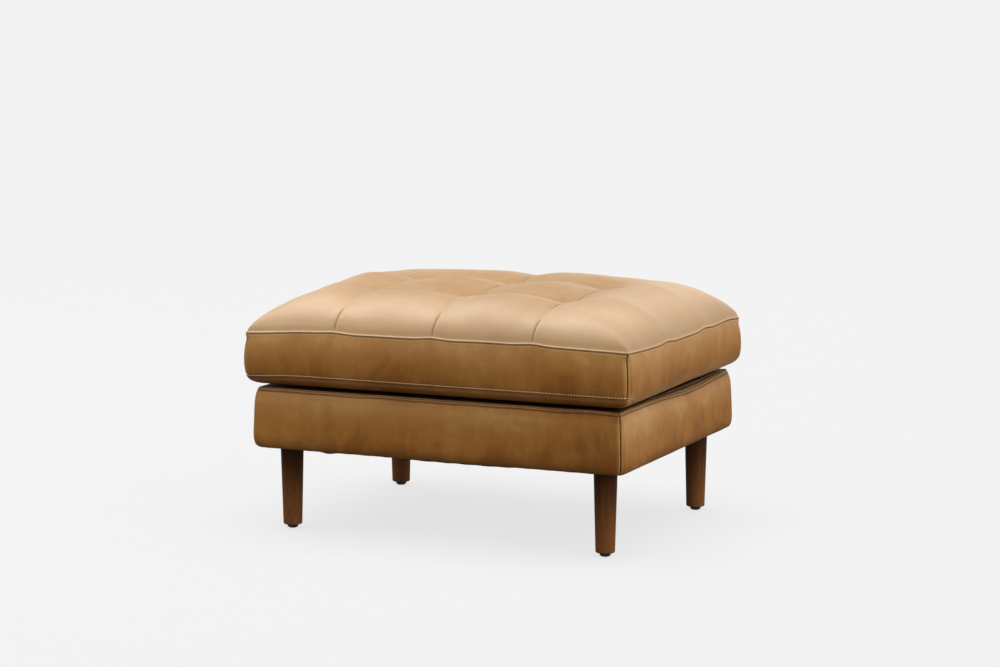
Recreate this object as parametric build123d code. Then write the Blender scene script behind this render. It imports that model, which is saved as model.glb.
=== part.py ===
from build123d import *
import math
import os

# Leather ottoman that also serves as a coffee table: a loose, blind-tufted cushion lies on a
# webbed hardwood base covered in leather, which stands on four turned legs.
# Millimetres. +X runs along the long front to the right, +Y to the back, +Z up.
# The origin is on the floor, under the middle of the ottoman.

# Glides
glide_height = 7.0
glide_top_diameter = 21.0
glide_face_diameter = 15.0
glide_edge_height = 2.5
nail_diameter = 2.6
nail_length = 18.0
nail_point_length = 3.0
nail_clearance = 0.1

# Legs, set in from the walls of the base
leg_inset_x = 47.0
leg_inset_y = 49.5
leg_length = 157.0
leg_top_diameter = 45.0
leg_foot_diameter = 37.0
leg_foot_rounding = 3.0
leg_top_chamfer = 0.8

# Hanger bolts and the plates they screw into
bolt_diameter = 8.0
bolt_depth_in_leg = 30.0
bolt_reach_above_leg = 28.0
bolt_end_chamfer = 1.0
bolt_end_room = 2.0
thread_clearance = 0.15
plate_width = 48.0
plate_thickness = 2.0
plate_corner_radius = 5.0
plate_cut_out_gap = 1.0
plate_screw_spacing = 30.0
hub_diameter = 16.0
hub_height = 8.0
hub_clearance = 0.3

# Wood screws
screw_diameter = 4.0
screw_head_diameter = 8.0
plate_screw_length = 26.0
rail_screw_length = 60.0
screw_clearance = 0.1

# Hardwood frame
rail_height = 100.0
rail_thickness = 22.0
brace_height = 60.0
block_leg = 95.0
block_height = 45.0

# Webbing, deck and dust cover
webbing_width = 50.0
webbing_thickness = 1.6
webbing_setback = 3.0
webbing_ramp = 26.0
long_web_count = 4
cross_web_count = 5
deck_pad_thickness = 9.5
deck_cloth_thickness = 0.8
dust_cover_thickness = 1.0
dust_cover_setback = 14.0

# Leather cover of the base
base_leather = 2.0
base_side_pad = 5.0
base_bulge = 5.0
base_stand_out = 3.0
base_corner_radius = 9.0
base_turn_under = 34.0
border_width = 70.0

# Cushion, measured at its top seam
cushion_length = 790.0
cushion_depth = 605.0
cushion_overhang_x = 19.0
cushion_overhang_y = 10.5
cushion_leather = 1.6
cushion_rest_gap = 0.3
boxing_height = 115.0
boxing_bulge = 4.0
boxing_stand_out = 1.0
boxing_corner_radius = 26.0
bottom_lip_height = 15.0
seam_lip_height = 4.0
crown_height = 84.0
tuft_spacing_x = 205.0
tuft_spacing_y = 205.0
core_setback = 30.0
core_height = 130.0
skin_gap = 0.3

# Tuft ties and their anchor buttons
tie_diameter = 2.4
tie_clearance = 0.2
tie_knot_diameter = 7.0
tie_knot_height = 3.0
anchor_diameter = 24.0
anchor_thickness = 2.5
anchor_clearance = 0.5

# One overrun serves every cut
overrun = 5.0

# Shape of the tufted crown, as shares chosen by hand. Each line of a table holds a place between
# the row's two ends, and there the height of the puffs' tops and of the pleats between the puffs.
# The edge rows run from the seam (0) to a row of tufts (1), the middle row from one row of tufts
# (0) to half way to the other (0.5), after which it is mirrored.
edge_row_shares = (
    (0.0, 0.008, 0.004),
    (0.04, 0.22, 0.19),
    (0.10, 0.41, 0.36),
    (0.20, 0.60, 0.52),
    (0.34, 0.79, 0.67),
    (0.50, 0.92, 0.79),
    (0.66, 0.965, 0.85),
    (0.83, 0.915, 0.73),
    (0.93, 0.845, 0.61),
    (1.0, 0.80, 0.55),
)
middle_row_shares = (
    (0.0, 0.80, 0.55),
    (0.06, 0.84, 0.605),
    (0.17, 0.925, 0.73),
    (0.33, 0.985, 0.85),
    (0.5, 1.0, 0.88),
)

# The rise across an end puff: shares of its width, and of the height of its top
rise_mid_shares = (0.10, 0.43)
shoulder_shares = (0.33, 0.76)
top_shares = (0.62, 0.93)

# Levels
leg_top_z = glide_height + leg_length
dust_cover_top = leg_top_z + dust_cover_thickness
rail_bottom = dust_cover_top + max(base_leather, plate_thickness)
rail_top = rail_bottom + rail_height
deck_level = rail_top + webbing_thickness
deck_pad_top = deck_level + deck_pad_thickness
deck_cloth_top = deck_pad_top + deck_cloth_thickness
base_top = deck_cloth_top + base_leather
cushion_bottom = base_top + cushion_rest_gap
bottom_lip_z = cushion_bottom + bottom_lip_height
seam_z = cushion_bottom + boxing_height

# Plan sizes of the base at its top seam, of the frame inside it and of the cushion's core
base_length = cushion_length - 2 * cushion_overhang_x
base_depth = cushion_depth - 2 * cushion_overhang_y
frame_length = base_length - 2 * (base_leather + base_side_pad)
frame_depth = base_depth - 2 * (base_leather + base_side_pad)
inner_length = frame_length - 2 * rail_thickness
inner_depth = frame_depth - 2 * rail_thickness
core_length = cushion_length - 2 * core_setback
core_depth = cushion_depth - 2 * core_setback
leg_x = base_length / 2 - leg_inset_x
leg_y = base_depth / 2 - leg_inset_y

# How far the cuts between neighbouring panels run out past the seams
base_reach = base_bulge + base_stand_out + overrun
boxing_reach = boxing_bulge + boxing_stand_out + overrun

corner_signs = {"front_left": (-1, -1), "front_right": (1, -1), "rear_right": (1, 1), "rear_left": (-1, 1)}
side_names = ("front", "right", "rear", "left")
leg_centres = {name: (sx * leg_x, sy * leg_y) for name, (sx, sy) in corner_signs.items()}
tuft_columns = (-tuft_spacing_x, 0, tuft_spacing_x)
tuft_rows = (-tuft_spacing_y / 2, tuft_spacing_y / 2)
tuft_centres = [(x, y) for y in tuft_rows for x in tuft_columns]


def closed_face(*edges):
    """A flat face inside a closed run of edges."""
    return make_face(list(edges))


def slab(length, depth, bottom_z, top_z, centre=(0, 0)):
    """A flat-sided block between two levels."""
    block = Box(length, depth, top_z - bottom_z)
    return Pos(centre[0], centre[1], (top_z + bottom_z) / 2) * block


def drill(diameter, bottom_z, top_z, centre):
    """An upright round bar, used as a pin or to cut a bore."""
    bar = Cylinder(diameter / 2, top_z - bottom_z)
    return Pos(centre[0], centre[1], (top_z + bottom_z) / 2) * bar


def quarter(side, length, depth, reach, bottom_z, top_z):
    """The part of a rectangle that belongs to one side, cut at 45 degrees through its corners."""
    far_x = length / 2 + reach
    far_y = depth / 2 + reach
    ridge_x = max(0, length - depth) / 2
    ridge_y = max(0, depth - length) / 2
    outlines = {
        "front": [(-far_x, -far_y), (far_x, -far_y), (ridge_x, -ridge_y), (-ridge_x, -ridge_y)],
        "right": [(far_x, -far_y), (far_x, far_y), (ridge_x, ridge_y), (ridge_x, -ridge_y)],
        "rear": [(far_x, far_y), (-far_x, far_y), (-ridge_x, ridge_y), (ridge_x, ridge_y)],
        "left": [(-far_x, far_y), (-far_x, -far_y), (-ridge_x, -ridge_y), (-ridge_x, ridge_y)],
    }
    corners = list(dict.fromkeys(outlines[side]))
    face = make_face(Polyline(*corners, close=True))
    return Pos(0, 0, bottom_z) * extrude(face, amount=top_z - bottom_z)


def bulged_profile(half_width, inset, bottom_z, top_z, bulge, stand_out, corner_radius):
    """Section through a padded cover: flat top, bulging walls and rounded lower corners."""
    wall_x = half_width - inset
    low_x = wall_x + stand_out
    low_z = bottom_z + corner_radius
    radius = corner_radius - inset
    flat_x = low_x - radius
    flat_z = bottom_z + inset
    diagonal = radius * math.sqrt(0.5)
    middle = ((wall_x + low_x) / 2 + bulge, (top_z + low_z) / 2)
    corner = (flat_x + diagonal, low_z - diagonal)
    return closed_face(
        Line((-flat_x, flat_z), (flat_x, flat_z)),
        ThreePointArc((flat_x, flat_z), corner, (low_x, low_z)),
        ThreePointArc((low_x, low_z), middle, (wall_x, top_z)),
        Line((wall_x, top_z), (-wall_x, top_z)),
        ThreePointArc((-wall_x, top_z), (-middle[0], middle[1]), (-low_x, low_z)),
        ThreePointArc((-low_x, low_z), (-corner[0], corner[1]), (-flat_x, flat_z)),
    )


def bulged_block(length, depth, inset, bottom_z, top_z, bulge, stand_out, corner_radius):
    """A padded block: the overlap of two bulging sections, so that its corners are mitred."""
    shape = (inset, bottom_z, top_z, bulge, stand_out, corner_radius)
    along = extrude(Plane.XZ * bulged_profile(length / 2, *shape), amount=depth, both=True)
    across = extrude(Plane.YZ * bulged_profile(depth / 2, *shape), amount=length, both=True)
    return along & across


def base_block(inset):
    """The outer form of the leather base, drawn in on every wall by the inset."""
    floor_z = rail_bottom - base_leather
    return bulged_block(base_length, base_depth, inset, floor_z, deck_cloth_top,
                        base_bulge, base_stand_out, base_corner_radius)


def boxing_block(inset):
    """The cushion below its top seam, drawn in on every wall by the inset."""
    return bulged_block(cushion_length, cushion_depth, inset, cushion_bottom, seam_z,
                        boxing_bulge, boxing_stand_out, boxing_corner_radius)


def glide(centre):
    """Nail-on glide: a tapered foot with a flat face, and a pointed nail."""
    top_radius = glide_top_diameter / 2
    face_radius = glide_face_diameter / 2
    nail_radius = nail_diameter / 2
    nail_top = glide_height + nail_length
    outline = Polyline(
        (0, 0), (face_radius, 0), (top_radius, glide_edge_height), (top_radius, glide_height),
        (nail_radius, glide_height), (nail_radius, nail_top - nail_point_length), (0, nail_top),
        close=True)
    body = revolve(Plane.XZ * make_face(outline), Axis.Z)
    return Pos(centre[0], centre[1], 0) * body


def leg(centre):
    """Turned and tapered leg, bored for its hanger bolt above and its glide's nail below."""
    foot_radius = leg_foot_diameter / 2
    top_radius = leg_top_diameter / 2
    foot_z = glide_height
    bend = leg_foot_rounding * (1 - math.sqrt(0.5))
    outline = closed_face(
        Line((0, foot_z), (foot_radius - leg_foot_rounding, foot_z)),
        ThreePointArc((foot_radius - leg_foot_rounding, foot_z), (foot_radius - bend, foot_z + bend),
                      (foot_radius, foot_z + leg_foot_rounding)),
        Polyline((foot_radius, foot_z + leg_foot_rounding), (top_radius, leg_top_z - leg_top_chamfer),
                 (top_radius - leg_top_chamfer, leg_top_z), (0, leg_top_z)),
        Line((0, leg_top_z), (0, foot_z)),
    )
    turned = Pos(centre[0], centre[1], 0) * revolve(Plane.XZ * outline, Axis.Z)
    bolt_bore = drill(bolt_diameter + 2 * thread_clearance, leg_top_z - bolt_depth_in_leg - bolt_end_room,
                      leg_top_z + overrun, centre)
    nail_bore = drill(nail_diameter + 2 * nail_clearance, 0, glide_height + nail_length + nail_clearance,
                      centre)
    return turned - bolt_bore - nail_bore


def hanger_bolt(centre):
    """Double-ended bolt: its lower half is in the leg, its upper half goes up through the plate."""
    radius = bolt_diameter / 2
    bottom_z = leg_top_z - bolt_depth_in_leg
    top_z = leg_top_z + bolt_reach_above_leg
    tip_radius = radius - bolt_end_chamfer
    outline = Polyline(
        (0, bottom_z), (tip_radius, bottom_z), (radius, bottom_z + bolt_end_chamfer),
        (radius, top_z - bolt_end_chamfer), (tip_radius, top_z), (0, top_z), close=True)
    return Pos(centre[0], centre[1], 0) * revolve(Plane.XZ * make_face(outline), Axis.Z)


def screw(length, clearance=0):
    """Countersunk wood screw along +Z with its flat head at the origin, or the bore that takes it."""
    head_radius = screw_head_diameter / 2 + clearance
    radius = screw_diameter / 2 + clearance
    head_depth = head_radius - radius
    end_z = length + clearance
    outline = Polyline((0, 0), (head_radius, 0), (radius, head_depth), (radius, end_z - radius),
                       (0, end_z), close=True)
    return revolve(Plane.XZ * make_face(outline), Axis.Z)


def plate_screws(centre, clearance=0):
    """The four screws that hold one leg plate up against its corner block."""
    half = plate_screw_spacing / 2
    places = [(centre[0] + sx * half, centre[1] + sy * half) for sx in (-1, 1) for sy in (-1, 1)]
    bottom_z = rail_bottom - plate_thickness
    return [Pos(x, y, bottom_z) * screw(plate_screw_length, clearance) for x, y in places]


def leg_plate(centre):
    """Pressed steel plate with a threaded hub that the hanger bolt screws into."""
    bottom_z = rail_bottom - plate_thickness
    sheet = extrude(RectangleRounded(plate_width, plate_width, plate_corner_radius), amount=plate_thickness)
    plate = Pos(centre[0], centre[1], bottom_z) * sheet
    hub = drill(hub_diameter, rail_bottom, rail_bottom + hub_height, centre)
    thread = drill(bolt_diameter + 2 * thread_clearance, bottom_z - overrun,
                   rail_bottom + hub_height + overrun, centre)
    plate = plate + hub - thread
    for bore in plate_screws(centre, screw_clearance):
        plate = plate - bore
    return plate


def corner_block(name):
    """Glued triangular block in a corner of the frame, bored for the plate's hub, bolt and screws."""
    sx, sy = corner_signs[name]
    corner_x = sx * inner_length / 2
    corner_y = sy * inner_depth / 2
    outline = Polyline((corner_x, corner_y), (corner_x - sx * block_leg, corner_y),
                       (corner_x, corner_y - sy * block_leg), close=True)
    block = Pos(0, 0, rail_bottom) * extrude(make_face(outline), amount=block_height, dir=(0, 0, 1))
    centre = leg_centres[name]
    hub_bore = drill(hub_diameter + 2 * hub_clearance, rail_bottom - overrun,
                     rail_bottom + hub_height + hub_clearance, centre)
    bolt_bore = drill(bolt_diameter + 2 * hub_clearance, rail_bottom - overrun,
                      leg_top_z + bolt_reach_above_leg + bolt_end_room, centre)
    block = block - hub_bore - bolt_bore
    for bore in plate_screws(centre, screw_clearance):
        block = block - bore
    return block


def rail_screws(clearance=0):
    """Screws driven through the front and rear rails into the ends of the side rails and the brace."""
    side_x = (frame_length - rail_thickness) / 2
    levels = [(x, rail_bottom + share * rail_height) for x in (-side_x, side_x) for share in (1 / 4, 3 / 4)]
    levels += [(0, rail_bottom + share * brace_height) for share in (1 / 4, 3 / 4)]
    screws = []
    for x, z in levels:
        screws.append(Pos(x, -frame_depth / 2, z) * Rot(-90, 0, 0) * screw(rail_screw_length, clearance))
        screws.append(Pos(x, frame_depth / 2, z) * Rot(90, 0, 0) * screw(rail_screw_length, clearance))
    return screws


def bored(body, bores):
    """The body with each of the bores cut out of it."""
    for bore in bores:
        body = body - bore
    return body


def long_rail(sign):
    """Front or rear rail, which runs the whole length of the frame."""
    place = sign * (frame_depth - rail_thickness) / 2
    rail = slab(frame_length, rail_thickness, rail_bottom, rail_top, (0, place))
    return bored(rail, [bore for bore in rail_screws(screw_clearance) if bore.center().Y * sign > 0])


def end_rail(sign):
    """Side rail, butted between the long rails."""
    place = sign * (frame_length - rail_thickness) / 2
    rail = slab(rail_thickness, inner_depth, rail_bottom, rail_top, (place, 0))
    return bored(rail, [bore for bore in rail_screws(screw_clearance) if bore.center().X * sign > overrun])


def centre_brace():
    """Cross brace, lower than the rails so that the webbing above it can give."""
    brace = slab(rail_thickness, inner_depth, rail_bottom, rail_bottom + brace_height)
    return bored(brace, [bore for bore in rail_screws(screw_clearance) if abs(bore.center().X) < overrun])


def web_places(span, count):
    """Centres of the straps, evenly spread over a span of the frame."""
    pitch = span / (count + 1)
    return [-span / 2 + pitch * (number + 1) for number in range(count)]


def strap(half_run, crossings, over_first):
    """One interlaced strap along X: it dips under every second strap that it crosses."""
    half_flat = webbing_width / 2
    path = [(-half_run, rail_top)]
    for number, place in enumerate(crossings):
        goes_over = (number % 2 == 0) == over_first
        if not goes_over:
            path += [
                (place - half_flat - webbing_ramp, rail_top),
                (place - half_flat, rail_top - webbing_thickness),
                (place + half_flat, rail_top - webbing_thickness),
                (place + half_flat + webbing_ramp, rail_top),
            ]
    path += [(half_run, rail_top)]
    upper = [(x, z + webbing_thickness) for x, z in reversed(path)]
    face = Plane.XZ * make_face(Polyline(*path, *upper, close=True))
    return extrude(face, amount=webbing_width / 2, both=True)


def long_webbing():
    """Straps from side rail to side rail."""
    crossings = web_places(inner_length, cross_web_count)
    places = web_places(inner_depth, long_web_count)
    half_run = frame_length / 2 - webbing_setback
    return [Pos(0, y, 0) * strap(half_run, crossings, number % 2 == 0) for number, y in enumerate(places)]


def cross_webbing():
    """Straps from front rail to rear rail, woven through the long ones."""
    crossings = web_places(inner_depth, long_web_count)
    places = web_places(inner_length, cross_web_count)
    half_run = frame_depth / 2 - webbing_setback
    return [Pos(x, 0, 0) * Rot(0, 0, 90) * strap(half_run, crossings, number % 2 == 1)
            for number, x in enumerate(places)]


def side_pads():
    """Foam between the rails and the leather, one piece on each side of the frame."""
    form = base_block(base_leather + skin_gap)
    ring = form - slab(frame_length, frame_depth, rail_bottom - overrun, deck_cloth_top + overrun)
    return {side: ring & quarter(side, base_length, base_depth, base_reach, rail_bottom - overrun, base_top)
            for side in side_names}


def base_panels():
    """Leather sides of the base, seamed at the corners, turned in under the rails, cut round the plates."""
    opening = slab(base_length - 2 * base_turn_under, base_depth - 2 * base_turn_under,
                   dust_cover_top - overrun, rail_top)
    shell = base_block(0) - base_block(base_leather) - opening
    cut_out = plate_width + 2 * plate_cut_out_gap
    for centre in leg_centres.values():
        shell = shell - slab(cut_out, cut_out, dust_cover_top - overrun, rail_bottom + overrun, centre)
    bottom_z = dust_cover_top - overrun
    return {side: shell & quarter(side, base_length, base_depth, base_reach, bottom_z, base_top)
            for side in side_names}


def deck_borders():
    """Leather border round the deck, mitred at the corners, that the cushion lies on."""
    ring = slab(base_length, base_depth, deck_cloth_top, base_top)
    ring = ring - slab(base_length - 2 * border_width, base_depth - 2 * border_width,
                       deck_cloth_top - overrun, base_top + overrun)
    return {side: ring & quarter(side, base_length, base_depth, overrun, deck_cloth_top, base_top)
            for side in side_names}


def dust_cover():
    """Black cloth under the frame, pierced by the hanger bolts and held up by the legs."""
    sheet = slab(base_length - 2 * dust_cover_setback, base_depth - 2 * dust_cover_setback,
                 leg_top_z, dust_cover_top)
    holes = [drill(bolt_diameter + 2 * hub_clearance, leg_top_z - overrun, dust_cover_top + overrun, centre)
             for centre in leg_centres.values()]
    return bored(sheet, holes)


def crown_section(half_length, place_y, puff_share, pleat_share, inset):
    """Section of the crown at one station along Y: a flat base, two lips and a row of four puffs."""
    base_z = seam_z - (overrun if inset else 0)
    lip_z = seam_z + seam_lip_height - inset
    rise = crown_height - seam_lip_height
    puff = rise * puff_share
    pleat_z = lip_z + rise * pleat_share
    end_width = half_length - tuft_spacing_x

    def end_point(shares):
        return half_length - end_width * shares[0], lip_z + puff * shares[1]

    rise_mid = end_point(rise_mid_shares)
    shoulder = end_point(shoulder_shares)
    top = end_point(top_shares)
    middle = (tuft_spacing_x / 2, lip_z + puff)
    half = [
        ThreePointArc((half_length, lip_z), rise_mid, shoulder),
        ThreePointArc(shoulder, top, (tuft_spacing_x, pleat_z)),
        ThreePointArc((tuft_spacing_x, pleat_z), middle, (0, pleat_z)),
    ]
    other_half = [mirror(arc, Plane.YZ) for arc in reversed(half)]
    frame = [
        Polyline((-half_length, lip_z), (-half_length, base_z), (half_length, base_z), (half_length, lip_z)),
    ]
    edges = [edge for curve in frame + half + other_half for edge in curve.edges()]
    return Plane.XZ.offset(-place_y) * Wire(edges)


def crown(inset):
    """Tufted crown of the cushion above its top seam, drawn in by the inset."""
    half_length = cushion_length / 2 - inset
    half_depth = cushion_depth / 2 - inset
    row_y = tuft_spacing_y / 2
    edge_width = half_depth - row_y
    edge_row = [(half_depth - place * edge_width, puff, pleat) for place, puff, pleat in edge_row_shares]
    half_row = [(row_y * (1 - 2 * place), puff, pleat) for place, puff, pleat in middle_row_shares]
    rows = [
        [(-y, puff, pleat) for y, puff, pleat in edge_row],
        [(-y, puff, pleat) for y, puff, pleat in half_row] + half_row[-2::-1],
        edge_row,
    ]
    front, middle, rear = [
        Solid.make_loft([crown_section(half_length, *station, inset) for station in row]) for row in rows]
    return front + middle + rear


def tufted_top_panel():
    """Leather top of the cushion, as one skin with its lip standing on the boxing."""
    return crown(0) - crown(cushion_leather)


def cushion_shell():
    """The leather below the cushion's top seam, before it is cut into its panels."""
    return boxing_block(0) - boxing_block(cushion_leather)


def boxing_panels():
    """Leather bands round the cushion, seamed at the corners."""
    shell = cushion_shell()
    return {side: shell & quarter(side, cushion_length, cushion_depth, boxing_reach, bottom_lip_z, seam_z)
            for side in side_names}


def bottom_panel():
    """Leather underside of the cushion, turned up to meet the boxing."""
    return cushion_shell() & slab(cushion_length + 2 * boxing_reach, cushion_depth + 2 * boxing_reach,
                                  cushion_bottom - overrun, bottom_lip_z)


def core_block():
    """The foam core as it is cut, before it is bored."""
    bottom_z = cushion_bottom + cushion_leather
    return slab(core_length, core_depth, bottom_z, bottom_z + core_height)


def tie_bores():
    """Bores for the tuft ties through the core and the wrap."""
    bottom_z = cushion_bottom
    top_z = seam_z + crown_height
    return [drill(tie_diameter + 2 * tie_clearance, bottom_z, top_z, centre) for centre in tuft_centres]


def cushion_core():
    """Foam core, bored for the tuft ties and recessed below for their anchor buttons."""
    bottom_z = cushion_bottom + cushion_leather
    recess_top = bottom_z + tie_knot_height + anchor_thickness
    recesses = [drill(anchor_diameter + 2 * anchor_clearance, bottom_z - overrun, recess_top, centre)
                for centre in tuft_centres]
    return bored(core_block(), recesses + tie_bores())


def fibre_wrap():
    """Fibre between the foam core and the leather, pulled down with it at every tuft."""
    inset = cushion_leather + skin_gap
    form = boxing_block(inset) + crown(inset)
    bottom_z = cushion_bottom - overrun
    hollow = slab(core_length, core_depth, bottom_z, cushion_bottom + cushion_leather + core_height)
    return bored(form - hollow, tie_bores())


def tuft_anchor(centre):
    """Button under the core that spreads the pull of one tuft tie."""
    bottom_z = cushion_bottom + cushion_leather + tie_knot_height
    top_z = bottom_z + anchor_thickness
    hole = drill(tie_diameter + 2 * tie_clearance, bottom_z - overrun, top_z + overrun, centre)
    return drill(anchor_diameter, bottom_z, top_z, centre) - hole


def tuft_tie(centre):
    """Twine from a knot under the anchor button up to the pleat at the tuft."""
    bottom_z = cushion_bottom + cushion_leather
    pit_share = edge_row_shares[-1][-1]
    pit_z = seam_z + seam_lip_height + (crown_height - seam_lip_height) * pit_share
    knot = drill(tie_knot_diameter, bottom_z, bottom_z + tie_knot_height, centre)
    return knot + drill(tie_diameter, bottom_z, pit_z - cushion_leather - skin_gap, centre)


def write(node, *bodies):
    """Write one node, as a group of separate solids where it has more than one."""
    solids = [solid for body in bodies for solid in body.solids()]
    export_step(Compound(children=solids), os.path.join("parts", node + ".step"))


os.makedirs("parts", exist_ok=True)

for name, centre in leg_centres.items():
    write(name + "_glide", glide(centre))
    write(name + "_leg", leg(centre))
    write(name + "_leg_plate", leg_plate(centre))
    write(name + "_corner_block", corner_block(name))
write("hanger_bolts", *[hanger_bolt(centre) for centre in leg_centres.values()])
write("leg_plate_screws", *[body for centre in leg_centres.values() for body in plate_screws(centre)])

write("front_rail", long_rail(-1))
write("rear_rail", long_rail(1))
write("left_rail", end_rail(-1))
write("right_rail", end_rail(1))
write("centre_brace", centre_brace())
write("rail_screws", *rail_screws())
write("long_webbing", *long_webbing())
write("cross_webbing", *cross_webbing())

write("deck_pad", slab(frame_length, frame_depth, deck_level, deck_pad_top))
write("deck_cloth", slab(frame_length, frame_depth, deck_pad_top, deck_cloth_top))
write("dust_cover", dust_cover())
for group, bodies in (("side_pad", side_pads()), ("base_panel", base_panels()),
                      ("deck_border", deck_borders()), ("cushion_boxing", boxing_panels())):
    for side, body in bodies.items():
        write(side + "_" + group, body)

write("cushion_top_panel", tufted_top_panel())
write("cushion_bottom_panel", bottom_panel())
write("cushion_core", cushion_core())
write("cushion_wrap", fibre_wrap())
write("tuft_ties", *[tuft_tie(centre) for centre in tuft_centres])
write("tuft_anchors", *[tuft_anchor(centre) for centre in tuft_centres])
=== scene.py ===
import math

import bmesh
import bpy
from mathutils import Matrix, Vector, noise


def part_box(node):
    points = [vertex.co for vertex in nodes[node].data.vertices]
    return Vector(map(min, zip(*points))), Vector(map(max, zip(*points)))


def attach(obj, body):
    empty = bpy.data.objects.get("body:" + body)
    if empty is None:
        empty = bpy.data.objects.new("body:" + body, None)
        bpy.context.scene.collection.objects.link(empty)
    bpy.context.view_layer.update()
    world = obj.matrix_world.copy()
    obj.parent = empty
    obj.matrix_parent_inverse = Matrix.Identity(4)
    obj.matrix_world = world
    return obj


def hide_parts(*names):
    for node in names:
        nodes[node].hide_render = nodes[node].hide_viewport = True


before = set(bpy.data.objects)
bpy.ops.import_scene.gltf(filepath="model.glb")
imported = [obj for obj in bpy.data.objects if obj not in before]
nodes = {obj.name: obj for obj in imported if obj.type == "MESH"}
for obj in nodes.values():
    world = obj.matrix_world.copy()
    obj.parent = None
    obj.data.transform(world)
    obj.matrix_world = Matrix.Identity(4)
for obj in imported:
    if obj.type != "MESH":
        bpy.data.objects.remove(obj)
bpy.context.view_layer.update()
mm = 0.001


# Camera, set at the photograph's angle and distance, with the lens that gives its perspective.
# It aims at a point above the middle of the ottoman, which puts the object where the picture has it.
view_turn = math.radians(23.97)
view_tilt = math.radians(7.98)
view_distance = 5889 * mm
focal_px = 2980.4
picture_width_px = 1000
sensor_width = 36.0
farthest_seen = 500
aim_height = 200 * mm
aim_right = 5.7 * mm
aim_up = 168 * mm


def placed(name, data):
    """Puts an object with its data into the scene."""
    made = bpy.data.objects.new(name, data)
    bpy.context.scene.collection.objects.link(made)
    return made


view_right = Vector((math.cos(view_turn), math.sin(view_turn), 0))
view_back = Vector((math.sin(view_turn) * math.cos(view_tilt), -math.cos(view_turn) * math.cos(view_tilt),
                    math.sin(view_tilt)))
view_up = view_back.cross(view_right)
aim = Vector((0, 0, aim_height)) + view_right * aim_right + view_up * aim_up
camera = bpy.data.cameras.new("camera")
camera.sensor_width = sensor_width
camera.lens = focal_px * sensor_width / picture_width_px
camera.clip_end = farthest_seen
camera_object = placed("camera", camera)
camera_object.location = aim + view_back * view_distance
camera_object.rotation_euler = (math.pi / 2 - view_tilt, 0, view_turn)
bpy.context.scene.camera = camera_object
bpy.context.scene.view_settings.view_transform = "Standard"


def mesh_from(name, bm):
    """A mesh of what was built, which is freed."""
    mesh = bpy.data.meshes.new(name)
    bm.to_mesh(mesh)
    bm.free()
    return mesh


def fill(socket, value):
    """Links a socket to another, or gives it a value."""
    if isinstance(value, bpy.types.NodeSocket):
        socket.id_data.links.new(value, socket)
    else:
        socket.default_value = value


def node(kind, inputs=None, tree=None, **settings):
    """Adds a shader node, and fills its inputs. Its tree is the one its inputs come from."""
    inputs = inputs or {}
    linked = [value for value in inputs.values() if isinstance(value, bpy.types.NodeSocket)]
    tree = tree or linked[0].id_data
    made = tree.nodes.new(kind if kind.startswith("NodeGroup") else "ShaderNode" + kind)
    for name, value in settings.items():
        setattr(made, name, value)
    for name, value in inputs.items():
        fill(made.inputs[name], value)
    return made


def math_node(operation, *values):
    """The result of one sum on some values."""
    return node("Math", dict(enumerate(values)), operation=operation).outputs[0]


def ranged(value, low, high, to_low=0.0, to_high=1.0, steps="SMOOTHSTEP"):
    """A value moved from one range to another, smoothly unless told otherwise."""
    inputs = {0: value, 1: low, 2: high, 3: to_low, 4: to_high}
    return node("MapRange", inputs, interpolation_type=steps).outputs[0]


def colour_mix(factor, first, second):
    """Two colours mixed by a factor."""
    return node("Mix", {0: factor, 6: first, 7: second}, data_type="RGBA").outputs[2]


# Soft studio light: a dome that is brightest overhead and towards the right end of the object.
# The camera and shiny surfaces see the pale backdrop in its place, and three soft lamps add the satin glow.
backdrop_colour = (0.896, 0.896, 0.896, 1)
dome_colour = (1.0, 0.985, 0.965, 1)
dome_fill = 0.28
dome_patches = (  # direction, cosines of its full middle and of its end, and strength
    ((0.05, -0.1, 1), 0.95, 0.45, 0.52),
    ((1, 0.0, 0.45), 0.95, 0.35, 1.45))
lamps = (  # name, place and size in metres, and power
    ("top_softbox", (-2.6, 1.1, 5.4), 4.2, 190.0),
    ("rear_softbox", (-0.6, 4.0, 1.9), 1.8, 6.0),
    ("left_softbox", (-1.35, -1.05, 1.5), 0.9, 7.5))

world = bpy.data.worlds.new("studio")
bpy.context.scene.world = world
world.use_nodes = True
tree = world.node_tree
tree.nodes.clear()
direction = node("TexCoord", tree=tree).outputs["Generated"]
glow = dome_fill
for towards, full, end, patch_strength in dome_patches:
    dot = node("VectorMath", {0: direction, 1: Vector(towards).normalized()},
               operation="DOT_PRODUCT").outputs["Value"]
    glow = math_node("ADD", ranged(dot, end, full, 0.0, patch_strength), glow)
light_path = node("LightPath", tree=tree).outputs
seen_rays = math_node("MAXIMUM", light_path["Is Camera Ray"], light_path["Is Glossy Ray"])
seen_rays = math_node("MAXIMUM", seen_rays, light_path["Is Transmission Ray"])
dome = node("Background", {"Color": dome_colour, "Strength": glow})
seen = node("Background", {"Color": backdrop_colour}, tree)
world_mix = node("MixShader", {0: seen_rays, 1: dome.outputs[0], 2: seen.outputs[0]})
node("OutputWorld", {"Surface": world_mix.outputs[0]})

for name, lamp_place, size, power in lamps:
    light = bpy.data.lights.new(name, "AREA")
    light.size = size
    light.energy = power
    light_object = placed(name, light)
    light_object.location = lamp_place
    to_object = Vector((0, 0, aim_height)) - Vector(lamp_place)
    light_object.rotation_euler = to_object.to_track_quat("-Z", "Y").to_euler()
    light_object.visible_camera = False


# Pale studio floor. Most of its shade is its own glow, so that it stays the picture's even grey-white.
# The glow dims where the ottoman stands close over it, and a little falling light adds the soft shadow.
floor_size = 120.0
floor_glow = 0.868
floor_gloss = 0.20
floor_bounce = 0.09
floor_albedo = 0.022
shadow_reach = 270 * mm
shadow_depth = 0.20
shadow_samples = 8

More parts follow.
